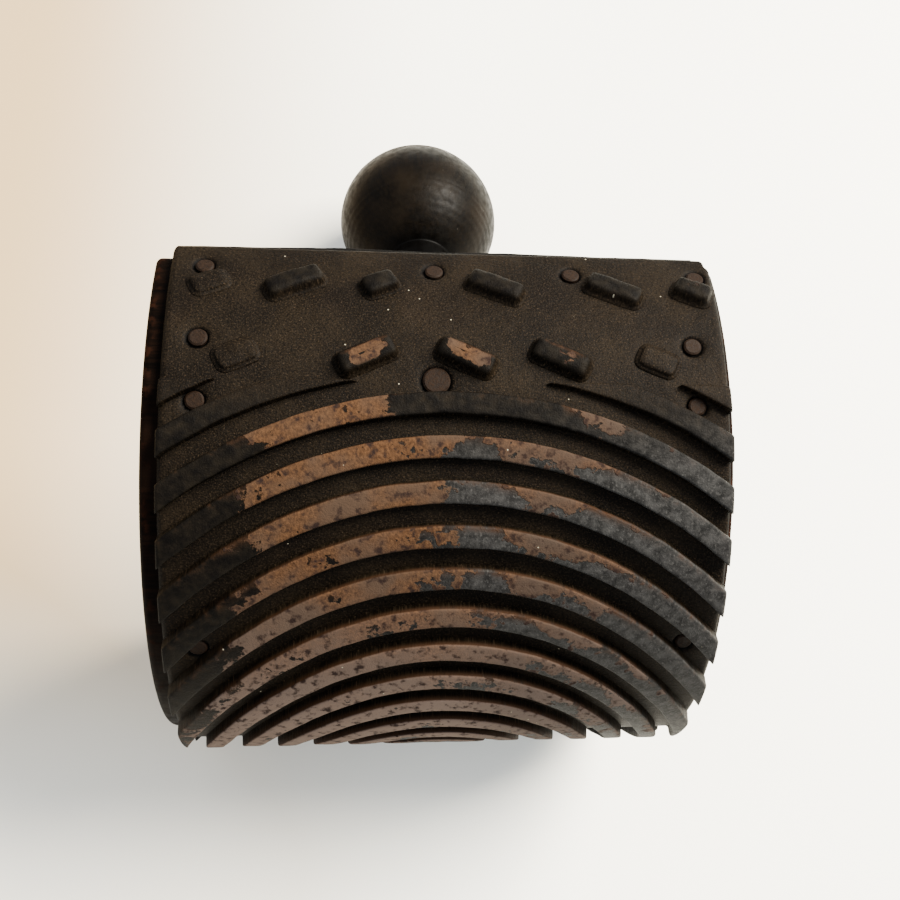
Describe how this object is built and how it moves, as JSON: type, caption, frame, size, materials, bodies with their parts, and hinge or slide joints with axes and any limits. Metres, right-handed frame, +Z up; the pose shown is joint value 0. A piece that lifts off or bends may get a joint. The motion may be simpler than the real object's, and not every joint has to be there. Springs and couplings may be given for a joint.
{
  "type": "graining rocker",
  "caption": "Half-round wooden block faced with a nailed rubber pad of raised oval ridges and short dashes, on a turned handle ending in a ball.",
  "frame": {"origin": "on the table under the middle of the tool's outline, as it lies on the ball of its handle and the far edge of its pad", "axes": "+Z up from the table, +X along the block's round axis to the right as one faces the working face, +Y from the working face towards the handle's ball"},
  "size_m": [0.133, 0.2106, 0.1439],
  "materials": {
    "block_wood": "dark stained wood, worn at the edges",
    "pad_rubber": "black rubber with worn brown ridge tops",
    "handle_wood": "blackened, polished by handling",
    "screw_steel": "plain steel",
    "nail_iron": "rusty iron"
  },
  "bodies": {
    "root": {"wooden_block": "block_wood", "rubber_pad": "pad_rubber", "handle": "handle_wood", "handle_screw": "screw_steel", "tack_middle": "nail_iron", "nail_top_1": "nail_iron", "nail_top_2": "nail_iron", "nail_top_3": "nail_iron", "nail_top_4": "nail_iron", "nail_left_1": "nail_iron", "nail_left_2": "nail_iron", "nail_left_3": "nail_iron", "nail_left_4": "nail_iron", "nail_right_1": "nail_iron", "nail_right_2": "nail_iron", "nail_right_3": "nail_iron", "nail_right_4": "nail_iron", "nail_bottom_1": "nail_iron", "nail_bottom_2": "nail_iron", "nail_bottom_3": "nail_iron", "nail_bottom_4": "nail_iron"}
  },
  "joints": []
}
